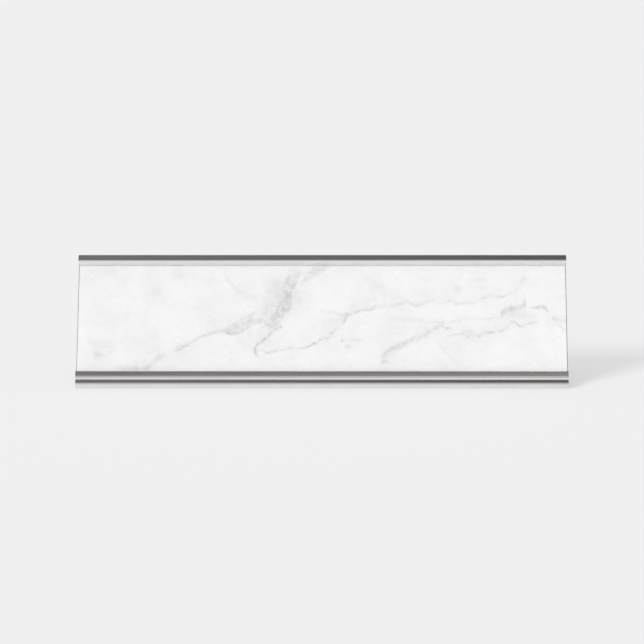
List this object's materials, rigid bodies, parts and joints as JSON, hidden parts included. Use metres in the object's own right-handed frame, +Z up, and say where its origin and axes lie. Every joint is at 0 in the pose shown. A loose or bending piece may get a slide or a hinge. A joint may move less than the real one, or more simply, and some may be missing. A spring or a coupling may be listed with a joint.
{
  "type": "desk name plate",
  "caption": "Desk name plate: a printed white marble plate slides endways into a bright extruded aluminium holder that leans back on a flat foot with non-slip pads.",
  "frame": {"origin": "on the desk, under the middle of the holder", "axes": "+X along the plate, the front faces -Y, +Z up"},
  "size_m": [0.2032, 0.039, 0.0518],
  "materials": {
    "bright_aluminium": "polished and bright anodised",
    "white_core": "saw-cut white sheet",
    "marble_print": "gloss printed film, white marble with grey veins",
    "pad_rubber": "matt"
  },
  "bodies": {
    "holder": {"holder": "bright_aluminium", "foot_pad_front_left": "pad_rubber", "foot_pad_front_right": "pad_rubber", "foot_pad_rear_left": "pad_rubber", "foot_pad_rear_right": "pad_rubber"},
    "name_plate": {"plate_core": "white_core", "printed_face": "marble_print"}
  },
  "joints": [
    {"name": "plate_slide", "type": "slide", "parent": "holder", "child": "name_plate", "axis": [1, 0, 0], "range_m": [-0.204, 0.204]}
  ]
}
